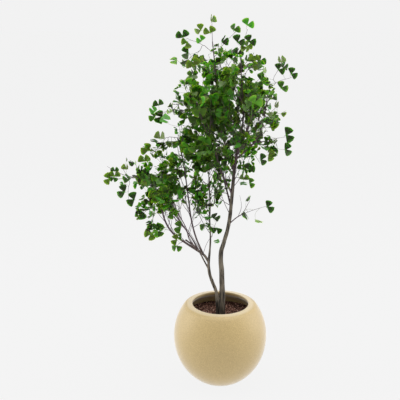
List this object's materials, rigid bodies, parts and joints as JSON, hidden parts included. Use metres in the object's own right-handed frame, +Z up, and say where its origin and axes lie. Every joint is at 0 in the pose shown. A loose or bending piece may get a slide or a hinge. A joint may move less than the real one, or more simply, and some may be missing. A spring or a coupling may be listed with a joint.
{
  "type": "potted ginkgo tree",
  "caption": "Two-stemmed ginkgo grown as a tall container bonsai, in leaf, standing in soil in a round sand-coloured stone planter.",
  "frame": {"origin": "centre of the planter's flat foot, on the surface that it stands on", "axes": "+Z up along the planter's axis, +X to the right and -Y towards the viewer of the picture"},
  "size_m": [0.575, 0.3364, 1.1649],
  "materials": {
    "planter": "matte, fine sandy grain",
    "soil": "matte, red-brown granules",
    "bark": "rough grey-brown bark",
    "leaf": "satin green leaf"
  },
  "bodies": {
    "root": {"planter": "planter", "soil": "soil", "trunk_and_limbs": "bark", "spray_01": "leaf", "spray_02": "leaf", "spray_03": "leaf", "spray_04": "leaf", "spray_05": "leaf", "spray_06": "leaf", "spray_07": "leaf", "spray_08": "leaf", "spray_09": "leaf", "spray_10": "leaf", "spray_11": "leaf", "spray_12": "leaf", "spray_13": "leaf", "spray_14": "leaf", "spray_15": "leaf", "spray_16": "leaf", "spray_17": "leaf", "spray_18": "leaf", "spray_19": "leaf", "spray_20": "leaf", "spray_21": "leaf", "spray_22": "leaf", "spray_23": "leaf", "spray_24": "leaf", "spray_25": "leaf", "spray_26": "leaf", "spray_27": "leaf", "spray_28": "leaf", "spray_29": "leaf", "spray_30": "leaf", "spray_31": "leaf", "spray_32": "leaf", "spray_33": "leaf", "spray_34": "leaf", "spray_35": "leaf", "spray_36": "leaf", "spray_37": "leaf", "spray_38": "leaf", "spray_39": "leaf", "spray_40": "leaf", "spray_41": "leaf", "spray_42": "leaf", "spray_43": "leaf", "spray_44": "leaf", "spray_45": "leaf", "spray_46": "leaf", "spray_47": "leaf", "spray_48": "leaf"}
  },
  "joints": []
}
